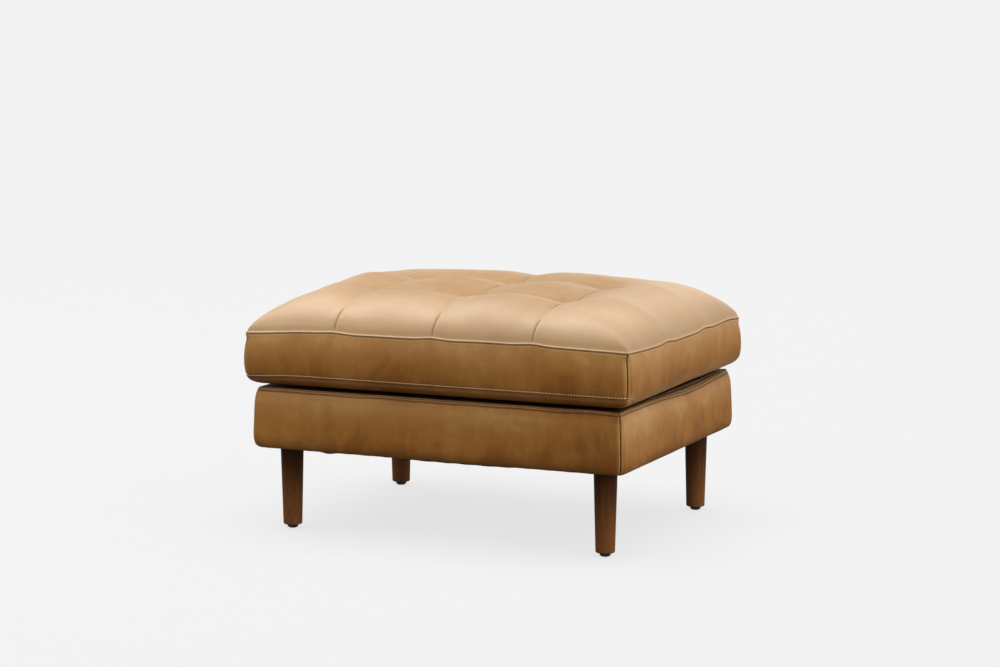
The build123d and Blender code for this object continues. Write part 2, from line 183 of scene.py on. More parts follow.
bm = bmesh.new()
bmesh.ops.create_grid(bm, x_segments=1, y_segments=1, size=floor_size)
floor_mesh = mesh_from("studio_floor", bm)
floor = placed("studio_floor", floor_mesh)
floor_material = bpy.data.materials.new("pale_floor")
floor_material.use_nodes = True
tree = floor_material.node_tree
tree.nodes.clear()
light_path = node("LightPath", tree=tree).outputs
shiny_rays = math_node("MAXIMUM", light_path["Is Glossy Ray"], light_path["Is Transmission Ray"])
mirrored = ranged(shiny_rays, 0, 1, floor_bounce, floor_gloss, "LINEAR")
open_sky = node("AmbientOcclusion", {"Distance": shadow_reach}, tree, samples=shadow_samples).outputs["AO"]
dimmed = ranged(open_sky, 0, 1, floor_glow * (1 - shadow_depth), floor_glow, "LINEAR")
strength = ranged(light_path["Is Camera Ray"], 0, 1, mirrored, dimmed, "LINEAR")
own_glow = node("Emission", {"Color": (1, 1, 1, 1), "Strength": strength})
lit = node("BsdfDiffuse", {"Color": (floor_albedo, floor_albedo, floor_albedo, 1)}, tree)
both = node("AddShader", {0: own_glow.outputs[0], 1: lit.outputs[0]})
node("OutputMaterial", {"Surface": both.outputs[0]})
floor_mesh.materials.append(floor_material)


# Glides: black nylon feet, tapered to a flat face and nailed into the end of each leg.
# The CAD nodes keep their shape and get the dull, slightly scuffed skin of moulded nylon.
corner_names = ("front_left", "front_right", "rear_right", "rear_left")
nylon_black = (0.010, 0.009, 0.009, 1)
nylon_scuffed = (0.035, 0.032, 0.030, 1)


def new_material(name, specular=0.5):
    """A material, its Principled shader, and the object coordinates its pattern is laid out in."""
    made = bpy.data.materials.new(name)
    made.use_nodes = True
    shader = made.node_tree.nodes["Principled BSDF"]
    shader.inputs["Specular IOR Level"].default_value = specular
    return made, shader, node("TexCoord", tree=made.node_tree).outputs["Object"]


def finish(shader, colour, roughness, normal):
    """Gives a material its colour, roughness and surface, each a pattern or one value."""
    for name, value in (("Base Color", colour), ("Roughness", roughness), ("Normal", normal)):
        fill(shader.inputs[name], value)


def fractal(place, scale, detail=2.0, roughness=0.5, distortion=0.0, stretch=None):
    """Cloudy noise, as a value from 0 to 1, drawn out along an axis where a stretch is given."""
    if stretch:
        place = node("Mapping", {"Vector": place, "Scale": stretch}).outputs[0]
    return node("TexNoise", {
        "Vector": place, "Scale": scale, "Detail": detail, "Roughness": roughness,
        "Distortion": distortion}).outputs["Fac"]


def stripes(place, scale, bands, distortion=0.0):
    """Even soft stripes across one direction, as a value from 0 to 1."""
    inputs = {"Vector": place, "Scale": scale, "Distortion": distortion}
    return node("TexWave", inputs, bands_direction=bands).outputs["Fac"]


def bump(height, distance, strength=1.0, under=None):
    """The normal of a surface raised by a height."""
    inputs = {"Height": height, "Distance": distance, "Strength": strength}
    if under is not None:
        inputs["Normal"] = under
    return node("Bump", inputs).outputs[0]


def dress(material, *cad_nodes):
    """Gives CAD nodes their finish."""
    for name in cad_nodes:
        nodes[name].data.materials.clear()
        nodes[name].data.materials.append(material)


def at_corners(part):
    """The names of a part that each corner has."""
    return [corner + part for corner in corner_names]


nylon, shader, place = new_material("black_nylon")
scuffs = fractal(place, 160, 4)
finish(shader, colour_mix(ranged(scuffs, 0.55, 0.8), nylon_black, nylon_scuffed),
       ranged(scuffs, 0.3, 0.7, 0.38, 0.6), bump(fractal(place, 1500), 0.1 * mm, 0.4))
dress(nylon, *at_corners("_glide"))


# Legs: solid walnut-stained turnings with a slow taper, satin lacquered, the grain running lengthwise.
# Each is screwed up through the dust cover by its hanger bolt. Painted shade darkens the top of each leg,
# where the body overhangs it, and the whole rear left leg; painted light makes each paler near the floor.
walnut_dark = (0.046, 0.015, 0.0046, 1)
walnut_mid = (0.100, 0.035, 0.0105, 1)
walnut_light = (0.290, 0.110, 0.034, 1)
walnut_pore = (0.008, 0.004, 0.002, 1)
fine_share = 0.25
stain_evenness = 0.6
# How strongly painted shade darkens the rear left leg, and where painted light and painted shade fade up
# each leg.
rear_left_shade = 0.75
painted_light_low = (0.13, 0.02, 0.0, 0.6)
painted_shade_high = (0.08, 0.165, 0.0, 0.65)
pore_strength = 0.4

walnut, shader, place = new_material("stained_walnut", 0.08)
figure = fractal(place, 75, 5, 0.6, 0.6, stretch=(1, 1, 0.07))
streaks = fractal(place, 420, 4, 0.65, stretch=(1, 1, 0.03))
pores = ranged(fractal(place, 1300, stretch=(1, 1, 0.035)), 0.56, 0.66)
broad = colour_mix(ranged(figure, 0.3, 0.75), walnut_dark, walnut_light)
fine = colour_mix(ranged(streaks, 0.3, 0.7), walnut_dark, walnut_light)
wood = colour_mix(stain_evenness, colour_mix(fine_share, broad, fine), walnut_mid)
leg_x, leg_y, leg_z = node("SeparateXYZ", {"Vector": place}).outputs
# Painted shade: the rear left leg is darkened towards the darkest walnut, as if in the ottoman's shadow.
rear_left = math_node("MULTIPLY", ranged(leg_x, 0.0, -0.2),
                      ranged(leg_y, 0.0, 0.2, 0, rear_left_shade))
wood = colour_mix(rear_left, wood, walnut_dark)
# Painted light makes each leg paler near the floor, and painted shade darkens it at the top.
wood = colour_mix(ranged(leg_z, *painted_light_low), wood, walnut_light)
wood = colour_mix(ranged(leg_z, *painted_shade_high), wood, walnut_dark)
finish(shader, colour_mix(math_node("MULTIPLY", pores, pore_strength), wood, walnut_pore),
       ranged(streaks, 0.3, 0.7, 0.34, 0.5),
       bump(math_node("SUBTRACT", streaks, pores), 0.12 * mm, 0.35))
dress(walnut, *at_corners("_leg"))


# Bolts, plates and screws: zinc-plated steel. The plates are screwed up against the corner blocks,
# and each leg's hanger bolt turns into its plate's threaded hub.
zinc_dark, zinc_light = (0.47, 0.47, 0.45, 1), (0.68, 0.68, 0.65, 1)

zinc, shader, place = new_material("zinc_steel")
shader.inputs["Metallic"].default_value = 1.0
spangle = fractal(place, 220, 3, 0.6, 0.8)
finish(shader, colour_mix(spangle, zinc_dark, zinc_light),
       ranged(spangle, 0.3, 0.7, 0.28, 0.48), bump(fractal(place, 900, 3), 0.05 * mm, 0.4))
dress(zinc, *at_corners("_leg_plate"), "hanger_bolts", "leg_plate_screws", "rail_screws")


# Frame: planed hardwood rails and brace, screwed at the corners, with glued triangular blocks.
# It is left unfinished inside the upholstery.
hardwood_dark, hardwood_light = (0.42, 0.27, 0.13, 1), (0.63, 0.46, 0.27, 1)

hardwood, shader, place = new_material("planed_hardwood")
figure = fractal(place, 90, 5, 0.6, 0.5, stretch=(0.08, 1, 1))
rays = fractal(place, 700, 3, 0.6, stretch=(0.05, 1, 1))
finish(shader, colour_mix(ranged(figure, 0.35, 0.65), hardwood_dark, hardwood_light),
       ranged(rays, 0.3, 0.7, 0.5, 0.72), bump(rays, 0.15 * mm, 0.4))
dress(hardwood, *at_corners("_corner_block"), "front_rail", "rear_rail", "left_rail", "right_rail",
      "centre_brace")


# Webbing: elastic straps interlaced over the open frame and stapled to the tops of the rails.
# Ribs of rubber-cored yarn run along each strap.
webbing_dark, webbing_light = (0.025, 0.025, 0.025, 1), (0.11, 0.105, 0.10, 1)

webbing, shader, place = new_material("elastic_webbing")
weave = math_node("MULTIPLY", stripes(place, 420, "X", 0.6), stripes(place, 420, "Y", 0.6))
finish(shader, colour_mix(weave, webbing_dark, webbing_light), 0.8, bump(weave, 0.3 * mm, 0.6))
dress(webbing, "long_webbing", "cross_webbing")


# Deck: a sheet of foam over the webbing under a black platform cloth, tacked along the frame.
# The cushion hides both.
foam_dark, foam_light = (0.66, 0.60, 0.42, 1), (0.84, 0.79, 0.60, 1)
platform_dark, platform_light = (0.008, 0.007, 0.006, 1), (0.030, 0.027, 0.025, 1)

foam, shader, place = new_material("cut_foam", 0.2)
cells = node("TexVoronoi", {"Vector": place, "Scale": 900.0}).outputs["Distance"]
finish(shader, colour_mix(cells, foam_dark, foam_light), 0.9, bump(cells, 0.4 * mm, 0.7))
platform, shader, place = new_material("platform_cloth", 0.2)
weave = math_node("MAXIMUM", stripes(place, 300, "X"), stripes(place, 300, "Y"))
finish(shader, colour_mix(weave, platform_dark, platform_light), 0.85, bump(weave, 0.2 * mm, 0.5))
dress(foam, "deck_pad")
dress(platform, "deck_cloth")


# Base panels: four panels of aniline leather over foam, seamed at the corners and along the deck,
# pulled down round the rails and stapled underneath. Each bulges softly and has rounded lower edges.
side_names = ("front", "right", "rear", "left")
walls = {  # the directions along and out of each wall
    "front": (Vector((1, 0, 0)), Vector((0, -1, 0))),
    "right": (Vector((0, 1, 0)), Vector((1, 0, 0))),
    "rear": (Vector((-1, 0, 0)), Vector((0, 1, 0))),
    "left": (Vector((0, -1, 0)), Vector((-1, 0, 0))),
}
leather_thickness = 1.6 * mm
smallest_radius = 0.6 * mm
leather_deep = (0.25, 0.088, 0.012, 1)
leather_mid = (0.41, 0.174, 0.032, 1)
leather_light = (0.57, 0.308, 0.100, 1)
# The rubbed shade is also the colour of painted sheen; the fold shade is painted shade in creases and seams.
leather_rubbed_and_sheen = (0.74, 0.47, 0.21, 1)
leather_fold_shade = (0.035, 0.013, 0.005, 1)

base_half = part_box("front_deck_border")[1].x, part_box("right_deck_border")[1].y
base_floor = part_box("front_base_panel")[0].z - 1.5 * mm
base_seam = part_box("front_base_panel")[1].z + 0.9 * mm
base_bulge = 8.5 * mm
base_flare = 5.5 * mm
base_lower_radius = 5.5 * mm
base_corner_radius = 6 * mm
base_plan = base_half, base_corner_radius
base_turn_under = 34 * mm
base_grid, base_rows = (170, 130), 60  # columns on the long sides and on the ends, rows
base_crowding, base_row_crowding = 0.92, 0.75
base_billow, base_billow_size = 1.2 * mm, 90
base_pucker, base_pucker_size = 0.5 * mm, 28
turned_share = 0.16
turned_lift = 0.4 * mm
# Painted light and shade on the walls: paler towards the top, darker low down, just under the seams and
# underneath.
painted_light_range = 0.42
# Ridges: height, distance from the line they follow and width, all in millimetres.
right_seam_sag = (8.0, 80, 135)
base_corner_tuck = (3.5, 0, 5.0)
base_corner_ridges = ((0.7, 2.8, 1.5), (-1.5, 0, 0.9))
base_top_ridges = ((0.9, 1.8, 1.4), (-2.0, 0, 0.9), (-0.8, 5.0, 1.8))
# Bands of rubbing, of painted sheen and of painted shade in grooves: strength, distance and width, the last
# two in millimetres.
base_corner_rub, base_top_rub = (0.4, 2.8, 1.3), (0.4, 1.2, 0.8)
base_corner_shade, base_top_groove_shade, base_top_shade = (0.9, 0, 0.9), (0.9, 0, 0.7), (0.75, 4.2, 1.4)
# Painted sheen on the base's upper wall, and painted light towards the front of the right end: strength,
# place and width.
base_sheen = 0.15
base_light_at_right = (0.45, -200, 130)


def smooth(value, low, high):
    """0 below the low end, 1 above the high end and a smooth step between."""
    share = min(1.0, max(0.0, (value - low) / (high - low)))
    return share * share * (3 - 2 * share)


def past(length, low, high):
    """The same step for a length, between limits in millimetres."""
    return smooth(length, low * mm, high * mm)


def ridge(distance, height, place, width):
    """A soft ridge of a height beside a line, with its place and width in millimetres."""
    return height * math.exp(-((distance - place * mm) / (width * mm)) ** 2)


def relief(distance, ridges):
    """How high several ridges beside one line stand together."""
    return mm * sum(ridge(distance, *one) for one in ridges)


def ripple(point, size, seed=0.0):
    """Slow unevenness from -1 to 1, with waves of about one size in millimetres."""
    return noise.noise(Vector(point) / (size * mm) + Vector((seed, seed, seed)))


def by_side(side, long_one, short_one):
    """One value for the long front and rear, and another for the two ends."""
    return long_one if side in ("front", "rear") else short_one


def wall_run(side, share, plan):
    """How far along its wall a share from -1 to 1 lies, and how far from the nearer corner seam."""
    half, radius = plan
    length = by_side(side, *half) - radius + radius * math.pi / 4
    return share * length, (1 - abs(share)) * length


def wall_point(side, share, plan, offset, z):
    """A point on one wall of a rounded plan moved out by an offset, and the wall's direction there."""
    half, radius = plan
    along, out = walls[side]
    radius = max(smallest_radius, radius + offset)
    straight = by_side(side, *half) + offset - radius
    run = share * (straight + radius * math.pi / 4)
    on_straight = max(-straight, min(straight, run))
    angle = (run - on_straight) / radius
    normal = out * math.cos(angle) + along * math.sin(angle)
    to_wall = by_side(side, *reversed(half)) + offset - radius
    return along * on_straight + out * to_wall + normal * radius + Vector((0, 0, z)), normal


def rounded_under(up, radius):
    """How far a wall stands out, below zero, where its lower edge is rounded."""
    low = max(0.0, radius - up)
    return math.sqrt(max(0.0, radius ** 2 - low ** 2)) - radius


def crowded(share, amount):
    """Moves evenly spread places from -1 to 1 closer together at both ends."""
    return share + amount * math.sin(math.pi * share) / math.pi


def shown(bm, name, body, material, modifiers=()):
    """Makes a mesh a smooth-shaded piece that rides on its body and has its finish."""
    mesh = mesh_from(name, bm)
    mesh.shade_smooth()
    mesh.materials.append(material)
    piece = placed(name, mesh)
    for kind, settings in modifiers:
        modifier = piece.modifiers.new(kind, kind)
        for key, value in settings.items():
            setattr(modifier, key, value)
    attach(piece, body)
    return piece


def panel(across, up, spot):
    """A sheet of leather: spot(share, height) gives each point, its rubbing and painted sheen, painted shade
    and light.
    """
    bm = bmesh.new()
    bmesh.ops.create_grid(bm, x_segments=across, y_segments=up, size=1)
    rub_and_sheen = bm.verts.layers.float.new("rub_and_sheen")
    crease_shade = bm.verts.layers.float.new("crease_shade")
    pull = bm.verts.layers.float.new("pull")
    for vert in bm.verts:
        vert.co, vert[rub_and_sheen], vert[crease_shade], vert[pull] = spot(vert.co.x, (vert.co.y + 1) / 2)
    return bm


def leather_group():
    """Aniline leather: cloudy dye, fine grain, rubbed edges, painted sheen, painted light and shade, painted
    shade in folds.
    """
    group = bpy.data.node_groups.new("aniline_leather", "ShaderNodeTree")
    inputs = {"Vector": "Vector", "Deep": "Color", "Mid": "Color", "Light": "Color", "Rubbed_and_sheen": "Color",
              "Rub_and_sheen": "Float", "Crease_shade": "Float", "Pull": "Float", "Streaks": "Float", "Clouds": "Float"}
    outputs = {"Color": "Color", "Roughness": "Float", "Normal": "Vector"}
    for way, sockets in (("INPUT", inputs), ("OUTPUT", outputs)):
        for name, kind in sockets.items():
            group.interface.new_socket(name, in_out=way, socket_type="NodeSocket" + kind)
    given = node("NodeGroupInput", tree=group).outputs
    spot = given["Vector"]
    drags = fractal(spot, 46, 4, 0.6, 0.5, stretch=(1, 1, 0.16))
    patterns = ((fractal(spot, 7.5, 5, 0.55, 0.4), given["Clouds"]),
                (fractal(spot, 24, 4, 0.6, 0.8), 0.7), (drags, given["Streaks"]))
    # The tone starts from each panel's painted light and shade, then takes the hide's clouds, patches and
    # streaks.
    tone = given["Pull"]
    for pattern, amount in patterns:
        tone = math_node("MULTIPLY_ADD", math_node("SUBTRACT", pattern, 0.5), amount, tone)
    lower = colour_mix(ranged(tone, -0.55, 0.05), given["Deep"], given["Mid"])
    colour = colour_mix(ranged(tone, -0.05, 0.6), lower, given["Light"])
    pits = node("TexVoronoi", {"Vector": spot, "Scale": 950.0}, feature="DISTANCE_TO_EDGE")
    grain = ranged(pits.outputs["Distance"], 0.0, 0.22)
    pores = ranged(fractal(spot, 2600), 0.36, 0.5)
    colour = colour_mix(ranged(grain, 0.0, 1.0, 0.22, 0.0), colour, given["Deep"])
    # Rubbed edges and painted sheen pale unevenly, and painted shade darkens the creases and folds.
    patchy = ranged(fractal(spot, 130, 3), 0.25, 0.6, 0.9, 1)
    colour = colour_mix(math_node("MULTIPLY", given["Rub_and_sheen"], patchy), colour, given["Rubbed_and_sheen"])
    colour = colour_mix(given["Crease_shade"], colour, leather_fold_shade)
    rough = math_node("ADD", ranged(tone, -0.5, 0.5, 0.50, 0.40),
                      math_node("MULTIPLY", given["Crease_shade"], 0.3))
    height = 0.0
    for pattern, amount in ((grain, 0.5), (pores, 0.3), (fractal(spot, 340, 3, 0.6, 1.2), 0.9)):
        height = math_node("MULTIPLY_ADD", pattern, amount, height)
    normal = bump(height, 0.16 * mm, 0.35, bump(drags, 2.2 * mm, 0.16))
    node("NodeGroupOutput", {"Color": colour, "Roughness": rough, "Normal": normal})
    return group


leather_nodes = leather_group()


def leather(name, shades, streaks, clouds, gloss):
    """One panel's leather, cut from its own part of the hide, with shades from deep to the pale of rubbing
    and painted sheen.
    """
    made, shader, place = new_material(name, gloss)
    values = {"Vector": place, "Streaks": streaks, "Clouds": clouds}
    values.update(zip(("Deep", "Mid", "Light", "Rubbed_and_sheen"), shades))
    # Its masks: rubbing with painted sheen, painted shade in creases, and painted light and shade.
    for layer in ("rub_and_sheen", "crease_shade", "pull"):
        mask = node("Attribute", tree=made.node_tree, attribute_name=layer)
        values[layer.capitalize()] = mask.outputs["Fac"]
    hide = node("Group", values, node_tree=leather_nodes).outputs
    finish(shader, hide["Color"], hide["Roughness"], hide["Normal"])
    return made


leather_shades = (leather_deep, leather_mid, leather_light, leather_rubbed_and_sheen)
base_leather = leather("base_leather", leather_shades, 0.4, 1.3, 0.24)


def base_seam_height(side, run):
    """Height of the seam between a base panel and the deck, which waves a little along its run."""
    height = base_seam + 1.6 * mm * ripple((run, 0, 0), 70, 3.0 + side_names.index(side))
    if side == "right":
        height -= relief(run, [right_seam_sag])
    return height


def base_spot(side):
    """Where each point of one base panel lies, from the inner edge under the rails up to its seam."""
    number = side_names.index(side)

    def spot(share, height):
        share = crowded(share, base_crowding)
        run, gap = wall_run(side, share, base_plan)
        top_z = base_seam_height(side, run)
        if height < turned_share:
            inward = (1 - height / turned_share) * (base_turn_under - base_lower_radius)
            offset = base_flare - base_lower_radius - inward
            point = wall_point(side, share, (base_half, 0.0), offset, base_floor + turned_lift)[0]
            # The turned-under part takes the darkest painted shade.
            return point, 0.0, 0.0, -painted_light_range
        rise = (height - turned_share) / (1 - turned_share)
        rise = 0.5 + 0.5 * crowded(2 * rise - 1, base_row_crowding)
        z = base_floor + (top_z - base_floor) * rise
        near_top = top_z - z
        open_wall = past(gap, 2, 30)
        offset = base_flare * (1 - rise) + base_bulge * (1 - (2 * rise - 1) ** 6)
        offset += rounded_under(z - base_floor, base_lower_radius)
        billow = ripple((run, z * 0.5, 0), base_billow_size, 7.0 + number) + 0.3
        pucker = ripple((run, z * 0.35, 0), base_pucker_size, 11.0) * past(near_top, 0, 40)
        offset += (base_billow * billow + base_pucker * pucker) * open_wall
        offset -= relief(gap, [base_corner_tuck]) * past(near_top, 0, 20)
        offset += relief(gap, base_corner_ridges) + relief(near_top, base_top_ridges)
        point = wall_point(side, share, base_plan, offset, z)[0]
        # Painted sheen on the upper wall, painted light rising up it, and painted shade just under the top
        # seam.
        painted_sheen = base_sheen * smooth(rise, 0.4, 0.85)
        pull = painted_light_range * (1.7 * rise - 0.9) - 0.5 * (1 - past(near_top, 4, 22))
        # The front keeps its painted sheen at the left and gets painted shade towards its right end; the
        # right end gets painted light near its front.
        if side == "front":
            painted_sheen *= 1 - 0.9 * smooth(share, -0.3, 0.6)
            pull -= 0.28 * past(run, 180, 380)
        if side == "right":
            pull += rise * ridge(run, *base_light_at_right)
        rub_and_sheen = max(ridge(gap, *base_corner_rub), ridge(near_top, *base_top_rub), painted_sheen)
        # Painted shade in the corner and top seam grooves and under the top lip.
        crease_shade = max(ridge(gap, *base_corner_shade), ridge(near_top, *base_top_groove_shade),
                     ridge(near_top, *base_top_shade))
        return point, rub_and_sheen, crease_shade, pull
    return spot


smoothed = ("SUBSURF", {"levels": 1, "render_levels": 1})
backed = ("SOLIDIFY", {"thickness": leather_thickness, "offset": -1})
for side in side_names:
    skin = panel(by_side(side, *base_grid), base_rows, base_spot(side))
    piece = shown(skin, side + "_base_leather", "base", base_leather, (backed, smoothed))
    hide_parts(side + "_base_panel", side + "_side_pad")


# Deck border: a leather band round the platform cloth, seamed to the panels and mitred at the corners.
# A row of thread runs along it just inside the seam, in the shade of the cushion.
border_width = 70 * mm
border_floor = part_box("front_deck_border")[1].z - 0.3 * mm
border_overlap = 0.6 * mm
border_plan = base_half, base_corner_radius - border_overlap
border_lip_lift = 0.4 * mm
border_grid, border_rows = (150, 120), 36
border_lip = (0.9, 1.0, 1.2)
border_rub = (0.4, 0.3, 0.8)


def border_point(side, share, inward):
    """A point on one border, at a distance in from its seam."""
    run = wall_run(side, share, base_plan)[0]
    lip = base_seam_height(side, run) + border_lip_lift
    z = lip + (border_floor - lip) * past(inward, -3, 8) + relief(inward, [border_lip])
    return wall_point(side, share, border_plan, border_overlap - inward, z)[0]


def border_spot(side):
    """Where each point of one border lies, from the seam (0) to its inner edge (1)."""
    def spot(share, height):
        inward = border_width * height ** 1.8
        # Painted shade: the border darkens in from its seam and more under the cushion, and takes the
        # darkest painted tone.
        shaded = 0.72 * past(inward, 0.2, 1.6) + 0.23 * past(inward, 10, 22)
        point = border_point(side, crowded(share, 0.5), inward)
        return point, ridge(inward, *border_rub), shaded, -painted_light_range
    return spot


for side in side_names:
    skin = panel(by_side(side, *border_grid), border_rows, border_spot(side))
    piece = shown(skin, side + "_deck_leather", "base", base_leather, (backed,))
    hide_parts(side + "_deck_border")


# Dust cover: black spun-bonded cloth, turned in at the edges and stapled under the rails.
# It sags a little between its staples, and hangs loose in one fold at the front.
dust_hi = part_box("dust_cover")[1]
dust_sag = 2.5 * mm
dust_overlap = 6 * mm
dust_drop = 2.6 * mm
dust_thickness = 0.4 * mm
staple_pitch = 42 * mm
staple_scallop = 0.7 * mm
loose_fold = (2.4, -227, 15)
loose_edge = 1.6 * mm
dust_dark, dust_light = (0.006, 0.006, 0.007, 1), (0.022, 0.022, 0.024, 1)

dust_cloth, shader, place = new_material("dust_cloth", 0.15)
dots = node("TexVoronoi", {"Vector": place, "Scale": 520.0, "Randomness": 0.15}).outputs["Distance"]
fuzz = fractal(place, 700, 4, 0.6)
finish(shader, colour_mix(fuzz, dust_dark, dust_light), 0.9, bump(dots, 0.2 * mm, 0.5))

bm = bmesh.new()
bmesh.ops.create_grid(bm, x_segments=120, y_segments=92, size=1)
for vert in bm.verts:
    x = vert.co.x * (dust_hi.x + dust_overlap)
    y = vert.co.y * (dust_hi.y + dust_overlap)
    to_end = dust_hi.x + dust_overlap - abs(x)
    to_edge = dust_hi.y + dust_overlap - abs(y)
    inside = min(to_end, to_edge)
    run = x if to_edge < to_end else y
    scallop = 0.5 - 0.5 * math.cos(2 * math.pi * run / staple_pitch)
    sag = dust_sag * past(inside, 0, 200) * (0.7 + 0.5 * ripple((x, y, 0), 160))
    sag += staple_scallop * scallop * (1 - past(inside, 0, 45))
    if y < 0:
        loose = relief(x, [loose_fold]) + loose_edge * past(x, -90, -30)
        sag += loose * (1 - past(x, 110, 190)) * (1 - past(to_edge, 0, 30))
    vert.co = (x, y, dust_hi.z - dust_drop - sag)
cover = shown(bm, "dust_cover_cloth", "base", dust_cloth,
              (("SOLIDIFY", {"thickness": dust_thickness, "offset": 0}),))
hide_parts("dust_cover")


# Cushion filling: a bored foam core, six twine ties and the buttons under the core that anchor them.
# The leather and its fibre hide all of it.
twine_dark, twine_light = (0.45, 0.39, 0.27, 1), (0.70, 0.64, 0.48, 1)
button_pale = (0.70, 0.69, 0.65, 1)

twine, shader, place = new_material("waxed_twine", 0.3)
lay = stripes(place, 500, "DIAGONAL", 1.0)
finish(shader, colour_mix(lay, twine_dark, twine_light), 0.6, bump(lay, 0.2 * mm, 0.6))
button, shader, place = new_material("pale_plastic")
finish(shader, button_pale, ranged(fractal(place, 300, 3), 0.3, 0.7, 0.32, 0.5),
       bump(fractal(place, 1200), 0.05 * mm, 0.4))
dress(twine, "tuft_ties")
dress(button, "tuft_anchors")


# Cushion underside: one panel of leather that turns up round the lower edge to meet the boxing.
# Its seam sits higher on the front, where it shows, than on the other sides.
cushion_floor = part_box("cushion_bottom_panel")[0].z
cushion_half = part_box("cushion_top_panel")[1].x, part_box("cushion_top_panel")[1].y
cushion_plan = cushion_half, 7 * mm
boxing_flare = 1.0 * mm
boxing_bulge = 8.0 * mm
boxing_lower_radius = 27 * mm
front_lower_seam = 26 * mm
side_lower_seam = 13 * mm
hem_dip = 7 * mm
rim_lift = 6.0 * mm
right_edge_lift = (2.0, 60, 120)
rear_corner_lift = 2 * mm
underside_wall = 115 * mm
underside_setback = 0.8 * mm
underside_grid, turned_rows = 150, 14
underside_crowding = 0.9
core_cuts = 30

cushion_leather = leather("cushion_leather", leather_shades, 0.35, 1.3, 0.26)


def lower_seam_height(side, share):
    """Height of the seam between the boxing and the underside."""
    from_front = {"front": 0.0, "right": 1 + share, "rear": 1.0, "left": 1 - share}[side]
    from_left = {"front": 1 + share, "right": 1.0, "rear": 1.0, "left": 0.0}[side]
    above_side = front_lower_seam - side_lower_seam - hem_dip * (1 - smooth(from_left, 0.0, 0.32))
    return cushion_floor + side_lower_seam + above_side * (1 - smooth(from_front, 0.0, 0.13))


def wall_offset(rise_z, wall_height):
    """How far the cushion's wall stands out from its top seam, at a height above the underside."""
    bulge = boxing_bulge * (1 - (2 * rise_z / wall_height - 1) ** 2)
    return boxing_flare + bulge + rounded_under(rise_z, boxing_lower_radius)


def tucked(point):
    """Lifts the rim clear of the base, most at the rear right corner, where the cushion bears least."""
    up = point.z - cushion_floor
    inside = min(cushion_half[0] - abs(point.x), cushion_half[1] - abs(point.y))
    point.z += rim_lift * (1 - past(inside, 20, 75)) * (1 - past(up, 0, 45))
    lift = relief(point.y, [right_edge_lift]) + rear_corner_lift * past(point.y, 120, 300)
    point.z += lift * past(point.x, 290, 390) * (1 - past(up, 0, 70))
    return point


def underside_spot(side):
    """Where each point of the turned-up edge lies, from the flat underside (0) to the lower seam (1)."""
    def spot(share, height):
        share = crowded(share, underside_crowding)
        top = lower_seam_height(side, share) - cushion_floor
        rise_z = top * height ** 1.7
        run = wall_run(side, share, cushion_plan)[0]
        offset = wall_offset(rise_z, underside_wall) - underside_setback
        offset += 0.5 * mm * ripple((run, 0, 0), 30, 5.0) * height
        point = wall_point(side, share, cushion_plan, offset, cushion_floor + rise_z)[0]
        under = top - rise_z
        # Rubbing near the seam, painted highlight up the turned edge on all but the front, and painted shade
        # in the seam's groove.
        rub_and_sheen = max(ridge(under, 0.1, 2, 2), ridge(under, 0.3, 8.5, 1.2),
                  0.0 if side == "front" else 0.5 * smooth(height, 0.15, 0.8))
        return tucked(point), rub_and_sheen, ridge(under, 0.6, 0, 0.7), -0.2 * painted_light_range
    return spot


underside = bmesh.new()
underside.verts.layers.float.new("rub_and_sheen")
underside.verts.layers.float.new("crease_shade")
for side in side_names:
    part = mesh_from("turned_up_edge", panel(underside_grid, turned_rows, underside_spot(side)))
    underside.from_mesh(part)
    bpy.data.meshes.remove(part)
flat_half = [half + wall_offset(0, underside_wall) - underside_setback for half in cushion_half]
flat = bmesh.ops.create_grid(underside, x_segments=underside_grid, y_segments=underside_grid, size=1)
for vert in flat["verts"]:
    x, y = (crowded(share, underside_crowding) * half for share, half in zip(vert.co, flat_half))
    vert.co = tucked(Vector((x, y, cushion_floor)))
bmesh.ops.remove_doubles(underside, verts=underside.verts, dist=0.3 * mm)
bmesh.ops.recalc_face_normals(underside, faces=underside.faces)
piece = shown(underside, "cushion_underside", "cushion", cushion_leather, (backed,))
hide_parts("cushion_bottom_panel")

core_low, core_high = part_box("cushion_core")
core = bmesh.new()
bmesh.ops.create_cube(core, size=1)
bmesh.ops.subdivide_edges(core, edges=core.edges[:], cuts=core_cuts, use_grid_fill=True)
bmesh.ops.scale(core, vec=core_high - core_low, verts=core.verts)
bmesh.ops.translate(core, vec=(core_high + core_low) / 2, verts=core.verts)
for vert in core.verts:
    vert.co = tucked(vert.co.copy()) + Vector((0, 0, 0.3 * mm * (vert.co.z < core_low.z + 1 * mm)))
piece = shown(core, "foam_core", "cushion", foam)
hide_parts("cushion_core")


# Boxing: four bands of leather round the cushion, seamed upright at the corners.
# The lower edge is turned over the underside, and along the front it is stitched down in cream thread.
top_seam_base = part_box("cushion_top_panel")[0].z
tuft_columns = (-205 * mm, 0, 205 * mm)
tuft_rows = (-102.5 * mm, 102.5 * mm)
# How many millimetres the top seam drops at each corner, and over what share of a side.
seam_corner_drops = ((6.0, 0.45), (0.0, 0.3), (6.5, 0.25), (3.5, 0.3))
seam_lifts, seam_kinks = (6.0 * mm, -6.5 * mm), (3.0 * mm, 3.5 * mm)  # long sides, ends
seam_kink_width = 26
boxing_grid, boxing_rows = (170, 130), 52
boxing_crowding, boxing_row_crowding = 0.93, 0.85
boxing_billow, boxing_billow_size = 1.6 * mm, 80
boxing_pucker, boxing_pucker_size = 0.35 * mm, 24
front_seam_dip = 3.2 * mm
